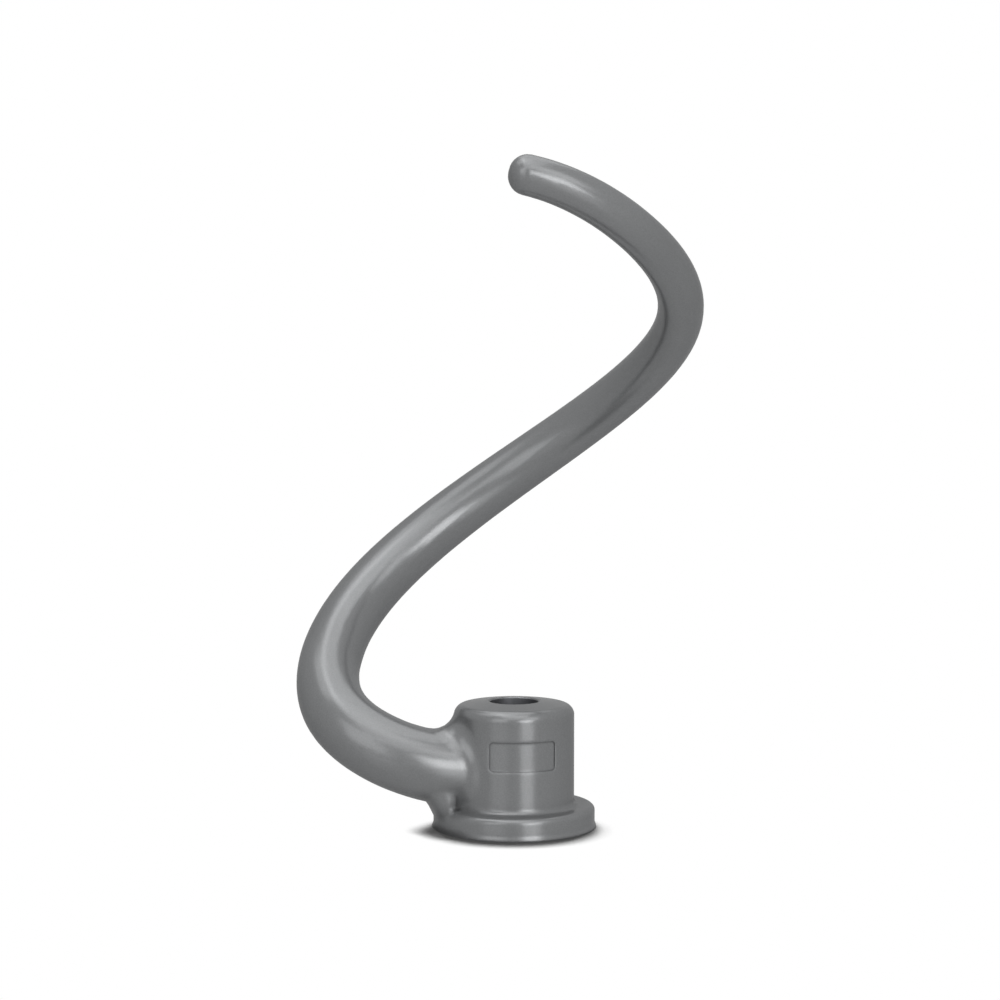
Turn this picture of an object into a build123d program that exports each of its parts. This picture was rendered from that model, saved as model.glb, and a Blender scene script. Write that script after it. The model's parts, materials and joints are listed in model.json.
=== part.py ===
"""Dough hook of a stand mixer, standing on its drip flange: one die casting with a bored hub and a coiled arm."""

import os
from math import asin, cos, degrees, hypot, pi, radians, sin, sqrt, tan

from build123d import *

# Hub and flange. The bore takes a 12.7 mm drive shaft.
bore_diameter = 13.0
bore_rim_chamfer = 0.4
hub_diameter = 32.0
hub_height = 33.7
hub_top_slope = 7.0
hub_edge_round = 2.3
flange_diameter = 43.0
flange_thickness = 5.9
flange_edge_round = 1.3
flange_lip = 0.4
flange_lip_height = 1.4
flange_foot_chamfer = 0.3
flange_root_round = 1.4

# Keyway for the drive shaft's cross pin: a slot up from the flange, then a part turn to a seat.
keyway_width = 5.4
keyway_reach = 11.0
keyway_depth = 16.5
keyway_turn = 75.0
keyway_seat_depth = 1.6

# Bare label pad sunk into the front of the hub, turned a little from -Y toward the arm.
pad_width = 17.4
pad_height = 7.8
pad_middle_height = 21.0
pad_turn = 3.0
pad_corner_round = 1.0
pad_depth = 0.35

# Arm. In plan it runs straight out of the hub along -X, bends, then closes in slowly round the bore's axis.
# Turns are in degrees, counted from -X by way of +Y.
bend_radius = 19.3
coil_radius_at_bend = 53.4
coil_radius_halfway = 45.7
coil_radius_at_tip = 40.0
tip_turn = 277.0
arm_diameter_at_root = 18.8
arm_diameter_at_bend = 17.1
arm_diameter_at_tip = 10.0
taper_start = 27.0
bend_length = 62.0
tip_round_share = 0.94

# Heights of the arm's centre line: at the axis, where the bend starts, halfway round it,
# and then from the bend's end to the middle of the rounded tip in equal steps of turn.
root_height = 14.5
bend_start_height = 18.7
bend_middle_height = 29.1
coil_heights = (45.1, 80.5, 109.2, 132.8, 153.6, 169.4)
root_rise = 0.07
tip_rise = 0.19

# The arm's rings: how far along the centre line the first one lies, inside the hub, how many
# there are as far as the bend's end and after it, and points on each half ring.
first_ring = 9.0
rings_to_bend = 9
rings_on_coil = 24
half_ring_points = 7
root_extra_height = 0.8

# Blends: arm into hub, and the web that carries the arm's underside down to the flange. The web's
# sections are square to -X: distance from the bore's axis, top and bottom height, and width.
root_blend_radius = 6.0
web_sections = (
    (17.5, 16.5, 2.6, 18.0),
    (21.3, 17.0, 2.8, 17.6),
    (22.4, 17.2, 5.1, 16.8),
    (24.2, 17.6, 7.8, 15.4),
    (27.6, 18.4, 9.8, 13.8),
)
web_points = 8

# Points closer than this count as one place.
same_place = 0.01

bore_radius = bore_diameter / 2
hub_radius = hub_diameter / 2
flange_radius = flange_diameter / 2
hub_foot_height = flange_thickness / 2
hub_edge_height = hub_height - (hub_radius - bore_radius) * tan(radians(hub_top_slope))


def plan_point(radius, turn):
    """Point at a radius from the bore's axis; the turn counts from -X by way of +Y to +X."""
    angle = radians(180 - turn)
    return radius * cos(angle), radius * sin(angle)


# Centre line of the arm. The bend's arc touches the straight part and the coil.
bend_centre_radius = coil_radius_at_bend - bend_radius
bend_end_turn = degrees(asin(bend_radius / bend_centre_radius))
straight_length = sqrt(bend_centre_radius**2 - bend_radius**2)

bend_centre = plan_point(bend_centre_radius, bend_end_turn)
half_bend = radians(270 - (90 + bend_end_turn) / 2)
bend_middle_x = bend_centre[0] + bend_radius * cos(half_bend)
bend_middle_y = bend_centre[1] + bend_radius * sin(half_bend)

line_points = [
    (0, 0, root_height),
    (-straight_length, 0, bend_start_height),
    (bend_middle_x, bend_middle_y, bend_middle_height),
]
last_step = len(coil_heights) - 1
early_closing = (coil_radius_at_bend + coil_radius_at_tip) / 2 - coil_radius_halfway
for step, height in enumerate(coil_heights):
    share = step / last_step
    turn = bend_end_turn + (tip_turn - bend_end_turn) * share
    even_radius = coil_radius_at_bend + (coil_radius_at_tip - coil_radius_at_bend) * share
    radius = even_radius - 4 * early_closing * share * (1 - share)
    line_points.append((*plan_point(radius, turn), height))

# The line goes on past the middle of the rounded tip to its very end.
root_direction = Vector(-1, 0, root_rise)
tip_angle = radians(180 - tip_turn)
tip_direction = Vector(sin(tip_angle), -cos(tip_angle), tip_rise)
line_points.append(Vector(*line_points[-1]) + tip_direction.normalized() * (arm_diameter_at_tip / 2))

with BuildLine() as centre_line:
    Spline(*line_points, tangents=(root_direction, tip_direction), tangent_scalars=(1, 1))

arm_line = centre_line.edge()
arm_length = arm_line.length


def arm_radius(distance):
    """Radius of the arm at a distance along its centre line."""
    if distance < bend_length:
        share = max(0, distance - taper_start) / (bend_length - taper_start)
        return (arm_diameter_at_root + (arm_diameter_at_bend - arm_diameter_at_root) * share) / 2
    share = (distance - bend_length) / (arm_length - bend_length)
    return (arm_diameter_at_bend + (arm_diameter_at_tip - arm_diameter_at_bend) * share) / 2


def ring_frame(distance):
    """Middle, side and up directions of the arm's ring at a distance along the centre line."""
    direction = arm_line % (distance / arm_length)
    side = Vector(0, 0, 1).cross(direction).normalized()
    return arm_line @ (distance / arm_length), side, direction.cross(side).normalized()


def ring_points(distance, first_angle):
    """Points of a half ring. Toward the hub it grows a little taller than wide."""
    middle, side, up = ring_frame(distance)
    width = arm_radius(distance)
    near_hub = max(0, 1 - (distance - first_ring) / (taper_start - first_ring))
    height = width + root_extra_height * near_hub
    angles = [first_angle + pi * index / (half_ring_points - 1) for index in range(half_ring_points)]
    return [middle + side * (width * cos(angle)) + up * (height * sin(angle)) for angle in angles]


def half_ring(distance, first_angle):
    """Half ring as a curve whose ends are square to the ring's side direction."""
    up = ring_frame(distance)[2] * cos(first_angle)
    return Edge.make_spline(ring_points(distance, first_angle), tangents=[up, -up], scale=False)


# The arm's skin is two half surfaces through the rings, an upper and a lower one.
ring_places = [first_ring + (bend_length - first_ring) * i / (rings_to_bend - 1) for i in range(rings_to_bend)]
ring_places += [bend_length + (arm_length - bend_length) * (i + 1) / rings_on_coil for i in range(rings_on_coil)]
upper_rings = [half_ring(place, 0) for place in ring_places]
lower_rings = [half_ring(place, pi) for place in ring_places]
left_side = Edge.make_spline([ring @ 0 for ring in upper_rings])
right_side = Edge.make_spline([ring @ 1 for ring in upper_rings])
skin = [
    Face.make_gordon_surface(upper_rings, [left_side, right_side]),
    Face.make_gordon_surface(lower_rings, [right_side, left_side]),
    Face(Wire([upper_rings[0], lower_rings[0]])),
    Face(Wire([upper_rings[-1], lower_rings[-1]])),
]
arm = Solid(Shell(Face.sew_faces(skin)[0]))

# Web under the arm's root. Its upper half lies inside the arm.
with BuildPart() as web:
    for distance, top, bottom, width in web_sections:
        angles = [2 * pi * index / web_points for index in range(web_points)]
        outline = [(width / 2 * cos(angle), (top - bottom) / 2 * sin(angle)) for angle in angles]
        with BuildSketch(Plane(origin=(-distance, 0, (top + bottom) / 2), x_dir=(0, -1, 0), z_dir=(-1, 0, 0))):
            with BuildLine():
                Spline(*outline, periodic=True)
            make_face()
    loft()

# Cutter for the keyway, kept inside its reach from the bore's axis.
with BuildPart() as keyway_cutter:
    with BuildSketch(Plane.XY):
        with Locations((keyway_reach, 0)):
            Rectangle(2 * keyway_reach, keyway_width)
    extrude(amount=keyway_depth)
    with BuildSketch(Plane.XZ):
        with Locations((keyway_reach, keyway_depth - keyway_width / 2)):
            Rectangle(2 * keyway_reach, keyway_width)
    revolve(axis=Axis.Z, revolution_arc=keyway_turn)
    with BuildSketch(Plane.XY.offset(keyway_depth - keyway_width - keyway_seat_depth).rotated((0, 0, keyway_turn))):
        with Locations((keyway_reach, 0)):
            Rectangle(2 * keyway_reach, keyway_width)
    extrude(amount=keyway_width + keyway_seat_depth)
    Cylinder(keyway_reach, 2 * keyway_depth, mode=Mode.INTERSECT)

# Cutter for the label pad: it reaches down to a cylinder just under the hub's surface.
with BuildPart() as pad_cutter:
    with BuildSketch(Plane.XZ.rotated((0, 0, -pad_turn))):
        with Locations((0, pad_middle_height)):
            RectangleRounded(pad_width, pad_height, pad_corner_round)
    extrude(amount=hub_radius + 1)
    Cylinder(hub_radius - pad_depth, 2 * hub_height, mode=Mode.SUBTRACT)

# Corners of the flange's outline: radius, height, and how far from the corner its round starts.
flange_corners = (
    (0, 0, 0),
    (flange_radius + flange_lip - flange_foot_chamfer, 0, 0),
    (flange_radius + flange_lip, flange_foot_chamfer, 0),
    (flange_radius, flange_lip_height, 0),
    (flange_radius, flange_thickness, flange_edge_round),
    (hub_radius, flange_thickness, flange_root_round),
    (hub_radius, flange_thickness + 2 * flange_root_round, 0),
    (0, flange_thickness + 2 * flange_root_round, 0),
)


def on_hub_wall(edge):
    """Whether an edge lies on the hub's round wall, between its foot and its top."""
    middle = edge @ 0.5
    off_wall = abs(hypot(middle.X, middle.Y) - hub_radius)
    return off_wall < same_place and hub_foot_height < middle.Z < hub_edge_height


with BuildPart() as dough_hook:
    # Hub with its sloped top and rounded edge, joined to the arm and blended into it.
    with BuildSketch(Plane.XZ):
        with BuildLine():
            base = Line((0, hub_foot_height), (hub_radius, hub_foot_height))
            slope = Vector(bore_radius - hub_radius, hub_height - hub_edge_height).normalized()
            wall = Line(base @ 1, (hub_radius, hub_edge_height - hub_edge_round))
            edge_end = Vector(hub_radius, hub_edge_height) + slope * hub_edge_round
            Spline(wall @ 1, edge_end, tangents=(Vector(0, 1), slope), tangent_scalars=(1, 1))
            Polyline(edge_end, (bore_radius, hub_height), (0, hub_height), (0, hub_foot_height))
        make_face()
    revolve(axis=Axis.Z)
    add(arm)
    root_edges = [edge for edge in dough_hook.edges(Select.NEW) if on_hub_wall(edge)]
    fillet(root_edges, root_blend_radius)
    tip_edges = dough_hook.edges().sort_by_distance(arm_line @ 1)[:2]
    fillet(tip_edges, tip_round_share * arm_diameter_at_tip / 2)

    # Flange, with its foot lip and the round that leads up to the hub.
    with BuildSketch(Plane.XZ):
        with BuildLine():
            round_ends = []
            for index, (radius, height, round_size) in enumerate(flange_corners):
                corner = Vector(radius, height)
                before = (corner - Vector(*flange_corners[index - 1][:2])).normalized()
                after = (Vector(*flange_corners[(index + 1) % len(flange_corners)][:2]) - corner).normalized()
                round_ends.append((corner - before * round_size, corner + after * round_size))
                if round_size:
                    Spline(*round_ends[-1], tangents=(before, after), tangent_scalars=(1, 1))
            for index, (start, _) in enumerate(round_ends):
                Line(round_ends[index - 1][1], start)
        make_face()
    revolve(axis=Axis.Z)
    add(web.part)

    # Through bore with its chamfered rim, keyway and label pad.
    Cylinder(bore_radius, 3 * hub_height, mode=Mode.SUBTRACT)
    chamfer(dough_hook.edges().sort_by_distance((0, bore_radius, hub_height))[0], bore_rim_chamfer)
    add(keyway_cutter.part, mode=Mode.SUBTRACT)
    add(pad_cutter.part, mode=Mode.SUBTRACT)

dough_hook.part.label = "dough_hook"
os.makedirs("parts", exist_ok=True)
export_step(dough_hook.part, "parts/dough_hook.step")
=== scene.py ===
"""Looks of the stand mixer dough hook: satin coated casting, pale floor, soft studio light."""

import json
from math import cos, pi, radians, sin

import bpy
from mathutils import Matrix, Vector


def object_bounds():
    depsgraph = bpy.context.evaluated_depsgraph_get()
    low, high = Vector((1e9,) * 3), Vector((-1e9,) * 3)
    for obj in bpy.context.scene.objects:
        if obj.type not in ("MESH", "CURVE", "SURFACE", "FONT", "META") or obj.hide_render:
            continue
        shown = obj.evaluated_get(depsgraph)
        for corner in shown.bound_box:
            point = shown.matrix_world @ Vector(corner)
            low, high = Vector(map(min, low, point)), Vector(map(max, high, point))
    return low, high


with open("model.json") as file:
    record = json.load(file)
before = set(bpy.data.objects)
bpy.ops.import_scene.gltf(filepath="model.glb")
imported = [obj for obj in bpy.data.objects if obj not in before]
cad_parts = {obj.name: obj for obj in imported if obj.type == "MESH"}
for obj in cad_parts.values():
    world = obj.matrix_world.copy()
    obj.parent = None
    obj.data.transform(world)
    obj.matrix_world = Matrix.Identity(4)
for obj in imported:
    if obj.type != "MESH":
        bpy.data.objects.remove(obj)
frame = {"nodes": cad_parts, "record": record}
cad_low, cad_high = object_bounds()

MM = 0.001

# Camera, measured from the bore's axis, with its angles in degrees. It stands on the side that the
# photograph shows.
camera_turn = -102.0
camera_distance = 613.8 * MM
camera_height = 127.1 * MM
camera_pan = 0.35
camera_tilt = 3.73
focal_length_px = 2326.0
frame_px = 1000.0
sensor_width = 36.0
nearest_seen = 0.01
farthest_seen = 20

# Soft boxes: name, turn from the camera's side to the right and elevation in degrees, distance, width
# and height in metres, watts.
back_box_turn = 180.0
soft_boxes = (
    ("key_box", 25.0, 11.0, 0.95, 0.4, 0.45, 3.6),
    ("high_key_box", 40.0, 38.0, 0.95, 0.4, 0.4, 1.3),
    ("left_front_box", -29.0, 18.0, 0.95, 0.5, 0.6, 1.7),
    ("front_high_box", 0.0, 45.0, 0.95, 0.6, 0.4, 1.2),
    ("top_box", 0.0, 75.0, 0.9, 0.7, 0.6, 3.3),
    ("back_high_box", back_box_turn, 65.0, 0.9, 0.7, 0.7, 3.2),
    ("left_high_box", -90.0, 65.0, 0.9, 0.5, 0.5, 1.4),
)
room_level = 0.02

# Floor sheet, the haze in it, and the painted contact shadow on it.
floor_side = 6.0
haze_size = 12 * MM
contact_reach = 9.5 * MM
contact_rise = 25

# Coat of the casting: distances from crest to crest, and how far it eases an edge.
flake_spacing = 0.35 * MM
drift_size = 25 * MM
peel_size = 1.2 * MM
peel_depth = 0.05 * MM
edge_ease = 1.2 * MM

# Blend from the arm's root down to the flange: its middle in the part's frame, how far the coat eases
# it, and the distances from its middle between which that falls back to the edges' own.
root_foot = (-20.0 * MM, -6.0 * MM, 7.0 * MM)
root_ease = 4 * MM
root_ease_inner = 9 * MM
root_ease_outer = 15 * MM

# Label pad: how near its step the painted shade on the coat reaches, and the heights between which
# that sets in.
pad_shade_reach = 0.7 * MM
pad_shade_low = 12 * MM
pad_shade_high = 14 * MM

# Bore, from the frame's own record, and its turning marks.
bore_mount = next(m for m in frame["record"]["mounts"] if m["name"] == "shaft_bore")
bore_radius = bore_mount["dims"]["r_mm"] * MM
bore_margin = 0.05 * MM
turning_pitch = 2 * pi * 0.4 * MM
turning_depth = 0.02 * MM


def linear(hex_colour):
    """Linear RGBA from an sRGB hex colour such as "8A8B8D"."""
    values = [int(hex_colour[i : i + 2], 16) / 255 for i in (0, 2, 4)]
    return (*[v / 12.92 if v <= 0.04045 else ((v + 0.055) / 1.055) ** 2.4 for v in values], 1.0)


def add_node(tree, kind, settings=None, **inputs):
    """Adds a node, sets its properties, and fills its inputs by value or by link from a socket.

    An input is named by its label with _ for each space, or by its number after a _.
    """
    node = tree.nodes.new(kind)
    for name, value in (settings or {}).items():
        setattr(node, name, value)
    for name, value in inputs.items():
        key = int(name[1:]) if name[1:].isdigit() else name.replace("_", " ")
        if isinstance(value, bpy.types.NodeSocket):
            tree.links.new(value, node.inputs[key])
        else:
            node.inputs[key].default_value = value
    return node


def new_material(name):
    """Material with an empty node tree, and that tree."""
    material = bpy.data.materials.new(name)
    material.use_nodes = True
    material.node_tree.nodes.clear()
    return material, material.node_tree


def direction(turn, elevation):
    """Unit vector to a turn from the camera's side and an elevation, both in degrees."""
    around = radians(camera_turn + turn)
    up = radians(elevation)
    return Vector((cos(around) * cos(up), sin(around) * cos(up), sin(up)))


def satin_coated_casting():
    """Die-cast aluminium under a satin silver-grey baked coat.

    The sprayed coat levels out the casting's skin and leaves a faint orange peel about 1 mm across.
    Its few metal flakes make the grey a little uneven and the highlights soft. It also fills
    corners and rounds edges, so its normals are eased there. The bore is machined bare.
    """
    material, tree = new_material("satin_silver_coat_on_die_cast_aluminium")
    place = add_node(tree, "ShaderNodeTexCoord").outputs["Object"]

    # Metal flake: real flake is finer, drawn this coarse so that it shows.
    flake = add_node(
        tree,
        "ShaderNodeTexNoise",
        Vector=place,
        Scale=1 / flake_spacing,
        Detail=1.0,
        Roughness=0.5,
    )
    # Slow drift of the coat's tone and gloss.
    drift = add_node(
        tree,
        "ShaderNodeTexNoise",
        Vector=place,
        Scale=1 / drift_size,
        Detail=2.0,
        Roughness=0.5,
    )
    tone = add_node(
        tree,
        "ShaderNodeMath",
        {"operation": "MULTIPLY_ADD"},
        _0=drift.outputs["Fac"],
        _1=0.5,
        _2=flake.outputs["Fac"],
    )
    light_share = add_node(
        tree, "ShaderNodeMapRange", Value=tone.outputs[0], From_Min=0.5, From_Max=1.0
    )
    coat_colour = add_node(
        tree,
        "ShaderNodeMix",
        {"data_type": "RGBA", "clamp_factor": True},
        _0=light_share.outputs[0],
        _6=linear("717273"),
        _7=linear("797A7B"),
    )

    # The coat draws over edges and into corners, and most where the arm's root flows into the flange.
    from_root = add_node(
        tree, "ShaderNodeVectorMath", {"operation": "DISTANCE"}, _0=place, _1=root_foot
    )
    ease = add_node(
        tree,
        "ShaderNodeMapRange",
        Value=from_root.outputs["Value"],
        From_Min=root_ease_inner,
        From_Max=root_ease_outer,
        To_Min=root_ease,
        To_Max=edge_ease,
    )
    eased = add_node(tree, "ShaderNodeBevel", {"samples": 8}, Radius=ease.outputs[0])

    # Painted shade: the coat's colour is darkened beside the label pad's step, where its shade falls.
    # The flange's corner lies below the set height.
    hollow = add_node(
        tree,
        "ShaderNodeAmbientOcclusion",
        {"samples": 8, "only_local": True},
        Distance=pad_shade_reach,
    )
    at_pad_height = add_node(
        tree,
        "ShaderNodeMapRange",
        Value=add_node(tree, "ShaderNodeSeparateXYZ", Vector=place).outputs["Z"],
        From_Min=pad_shade_low,
        From_Max=pad_shade_high,
    )
    pad_shade = add_node(
        tree,
        "ShaderNodeMapRange",
        Value=hollow.outputs["AO"],
        From_Min=0.6,
        From_Max=0.95,
        To_Min=0.65,
    )
    shaded_colour = add_node(
        tree,
        "ShaderNodeMix",
        {"data_type": "RGBA", "blend_type": "MULTIPLY"},
        _0=at_pad_height.outputs[0],
        _6=coat_colour.outputs[2],
        _7=pad_shade.outputs[0],
    )

    # Orange peel of the baked coat.
    peel = add_node(
        tree,
        "ShaderNodeTexNoise",
        Vector=place,
        Scale=1 / peel_size,
        Detail=2.0,
        Roughness=0.5,
    )
    peel_bump = add_node(
        tree,
        "ShaderNodeBump",
        Strength=0.05,
        Distance=peel_depth,
        Height=peel.outputs["Fac"],
        Normal=eased.outputs[0],
    )
    coat_roughness = add_node(
        tree, "ShaderNodeMapRange", Value=drift.outputs["Fac"], To_Min=0.21, To_Max=0.27
    )
    coat = add_node(
        tree,
        "ShaderNodeBsdfPrincipled",
        Base_Color=shaded_colour.outputs[2],
        Metallic=0.4,
        Specular_IOR_Level=0.0,
        Specular_Tint=(0.7, 0.7, 0.7, 1),
        Roughness=coat_roughness.outputs[0],
        Normal=peel_bump.outputs[0],
    )

    # Machined bore: bare aluminium, its colour darkened as painted shade in the hole. Its turning
    # marks run
    # along the axis about 2.5 mm apart: real ones are finer, drawn this coarse so that they show.
    split = add_node(tree, "ShaderNodeSeparateXYZ", Vector=place)
    flat_place = add_node(
        tree, "ShaderNodeCombineXYZ", X=split.outputs["X"], Y=split.outputs["Y"], Z=0.0
    )
    from_axis = add_node(
        tree, "ShaderNodeVectorMath", {"operation": "LENGTH"}, _0=flat_place.outputs[0]
    )
    in_bore = add_node(
        tree,
        "ShaderNodeMath",
        {"operation": "LESS_THAN"},
        _0=from_axis.outputs["Value"],
        _1=bore_radius + bore_margin,
    )
    # At a scale of 1, this texture's bands are 2 pi / 20 apart.
    turning = add_node(
        tree,
        "ShaderNodeTexWave",
        {"wave_type": "BANDS", "bands_direction": "Z"},
        Vector=place,
        Scale=2 * pi / 20 / turning_pitch,
        Distortion=0.4,
    )
    turning_bump = add_node(
        tree,
        "ShaderNodeBump",
        Strength=0.3,
        Distance=turning_depth,
        Height=turning.outputs["Fac"],
    )
    bare = add_node(
        tree,
        "ShaderNodeBsdfPrincipled",
        Base_Color=linear("5E5F62"),
        Metallic=1.0,
        Roughness=0.5,
        Normal=turning_bump.outputs[0],
    )
    surface = add_node(
        tree, "ShaderNodeMixShader", _0=in_bore.outputs[0], _1=coat.outputs[0], _2=bare.outputs[0]
    )
    add_node(tree, "ShaderNodeOutputMaterial", Surface=surface.outputs[0])
    return material


def seen_directly(tree):
    """1 for rays from the camera and for mirror and see-through rays, otherwise 0."""
    path = add_node(tree, "ShaderNodeLightPath")
    first = add_node(
        tree,
        "ShaderNodeMath",
        {"operation": "MAXIMUM"},
        _0=path.outputs["Is Camera Ray"],
        _1=path.outputs["Is Glossy Ray"],
    )
    both = add_node(
        tree,
        "ShaderNodeMath",
        {"operation": "MAXIMUM"},
        _0=first.outputs[0],
        _1=path.outputs["Is Transmission Ray"],
    )
    return both.outputs[0]


def white_acrylic_floor():
    """Cast white acrylic sheet, polished: white where it is seen directly.

    Where it is seen directly, a painted shadow darkens it close to what stands on it. It sends back
    the light of a pale grey with a faint haze. At a grazing angle its polish mirrors the soft boxes
    into the upright walls above it.
    """
    material, tree = new_material("polished_white_acrylic")
    haze = add_node(tree, "ShaderNodeTexNoise", Scale=floor_side / haze_size, Detail=2.0)
    tint = add_node(
        tree,
        "ShaderNodeMix",
        {"data_type": "RGBA"},
        _0=haze.outputs["Fac"],
        _6=linear("CCCCCC"),
        _7=linear("D0D0D0"),
    )
    body = add_node(tree, "ShaderNodeBsdfDiffuse", Color=tint.outputs[2])

    # Painted contact shadow: the sheet's glow is darkened where what stands on it hides it, within a
    # set
    # reach, from one fixed direction: that of the high box behind it, taken flatter than the box
    # stands, so that the shadow shows in front.
    painted_shadow_tilt = direction(back_box_turn, contact_rise)
    painted_shadow_axis = add_node(
        tree, "ShaderNodeCombineXYZ", X=painted_shadow_tilt.x, Y=painted_shadow_tilt.y, Z=painted_shadow_tilt.z
    )
    contact = add_node(
        tree,
        "ShaderNodeAmbientOcclusion",
        {"samples": 16},
        Color=(1, 1, 1, 1),
        Distance=contact_reach,
        Normal=painted_shadow_axis.outputs[0],
    )
    shade = add_node(
        tree,
        "ShaderNodeMapRange",
        Value=contact.outputs["AO"],
        From_Min=0.62,
        From_Max=0.84,
        To_Min=0.07,
        To_Max=1.0,
    )
    glow = add_node(
        tree, "ShaderNodeEmission", Color=(1, 1, 1, 1), Strength=shade.outputs[0]
    )
    polish = add_node(tree, "ShaderNodeBsdfAnisotropic", Color=(1, 1, 1, 1), Roughness=0.1)
    mirrored = add_node(
        tree,
        "ShaderNodeMath",
        {"operation": "MULTIPLY"},
        _0=add_node(tree, "ShaderNodeLightPath").outputs["Is Glossy Ray"],
        _1=add_node(tree, "ShaderNodeFresnel", IOR=1.49).outputs[0],
    )
    seen = add_node(
        tree, "ShaderNodeMixShader", _0=mirrored.outputs[0], _1=glow.outputs[0], _2=polish.outputs[0]
    )
    mixed = add_node(
        tree, "ShaderNodeMixShader", _0=seen_directly(tree), _1=body.outputs[0], _2=seen.outputs[0]
    )
    add_node(tree, "ShaderNodeOutputMaterial", Surface=mixed.outputs[0])
    return material


def studio_world(level):
    """White room: white where it is seen directly, and a plain level of light for the rest."""
    world = bpy.data.worlds.new("white_room")
    world.use_nodes = True
    tree = world.node_tree
    tree.nodes.clear()
    strength = add_node(
        tree, "ShaderNodeMapRange", Value=seen_directly(tree), To_Min=level, To_Max=1.0
    )
    background = add_node(
        tree, "ShaderNodeBackground", Color=(1, 1, 1, 1), Strength=strength.outputs[0]
    )
    add_node(tree, "ShaderNodeOutputWorld", Surface=background.outputs[0])
    bpy.context.scene.world = world


def soft_box(name, turn, elevation, distance, width, height, watts):
    """Area lamp that faces the middle of the object."""
    target = Vector((0, 0, (cad_low.z + cad_high.z) / 2))
    place = target + distance * direction(turn, elevation)
    lamp = bpy.data.lights.new(name, "AREA")
    lamp.shape = "RECTANGLE"
    lamp.size = width
    lamp.size_y = height
    lamp.energy = watts
    box = bpy.data.objects.new(name, lamp)
    box.location = place
    box.rotation_euler = (target - place).to_track_quat("-Z", "Y").to_euler()
    bpy.context.scene.collection.objects.link(box)


def photo_camera():
    """Camera at the photograph's place, seen from the bore's axis."""
    around = radians(camera_turn)
    heading = radians(camera_turn + 180 + camera_pan)
    tilt = radians(camera_tilt)
    forward = Vector((cos(heading) * cos(tilt), sin(heading) * cos(tilt), -sin(tilt)))
    data = bpy.data.cameras.new("photo_camera")
    data.sensor_width = sensor_width
    data.lens = focal_length_px / frame_px * sensor_width
    data.clip_start = nearest_seen
    data.clip_end = farthest_seen
    camera = bpy.data.objects.new("photo_camera", data)
    camera.location = (camera_distance * cos(around), camera_distance * sin(around), camera_height)
    camera.rotation_mode = "QUATERNION"
    camera.rotation_quaternion = forward.to_track_quat("-Z", "Y")
    bpy.context.scene.collection.objects.link(camera)
    bpy.context.scene.camera = camera


def floor():
    """Square sheet under the hook, level with its resting face."""
    half = floor_side / 2
    mesh = bpy.data.meshes.new("floor")
    corners = [(-half, -half, 0), (half, -half, 0), (half, half, 0), (-half, half, 0)]
    mesh.from_pydata(corners, [], [(0, 1, 2, 3)])
    sheet = bpy.data.objects.new("floor", mesh)
    sheet.location.z = cad_low.z
    bpy.context.scene.collection.objects.link(sheet)
    mesh.materials.append(white_acrylic_floor())


hook = frame["nodes"]["dough_hook"]
hook.data.materials.clear()
hook.data.materials.append(satin_coated_casting())

floor()
studio_world(room_level)
for box_sizes in soft_boxes:
    soft_box(*box_sizes)
photo_camera()

scene = bpy.context.scene
scene.view_settings.view_transform = "Standard"
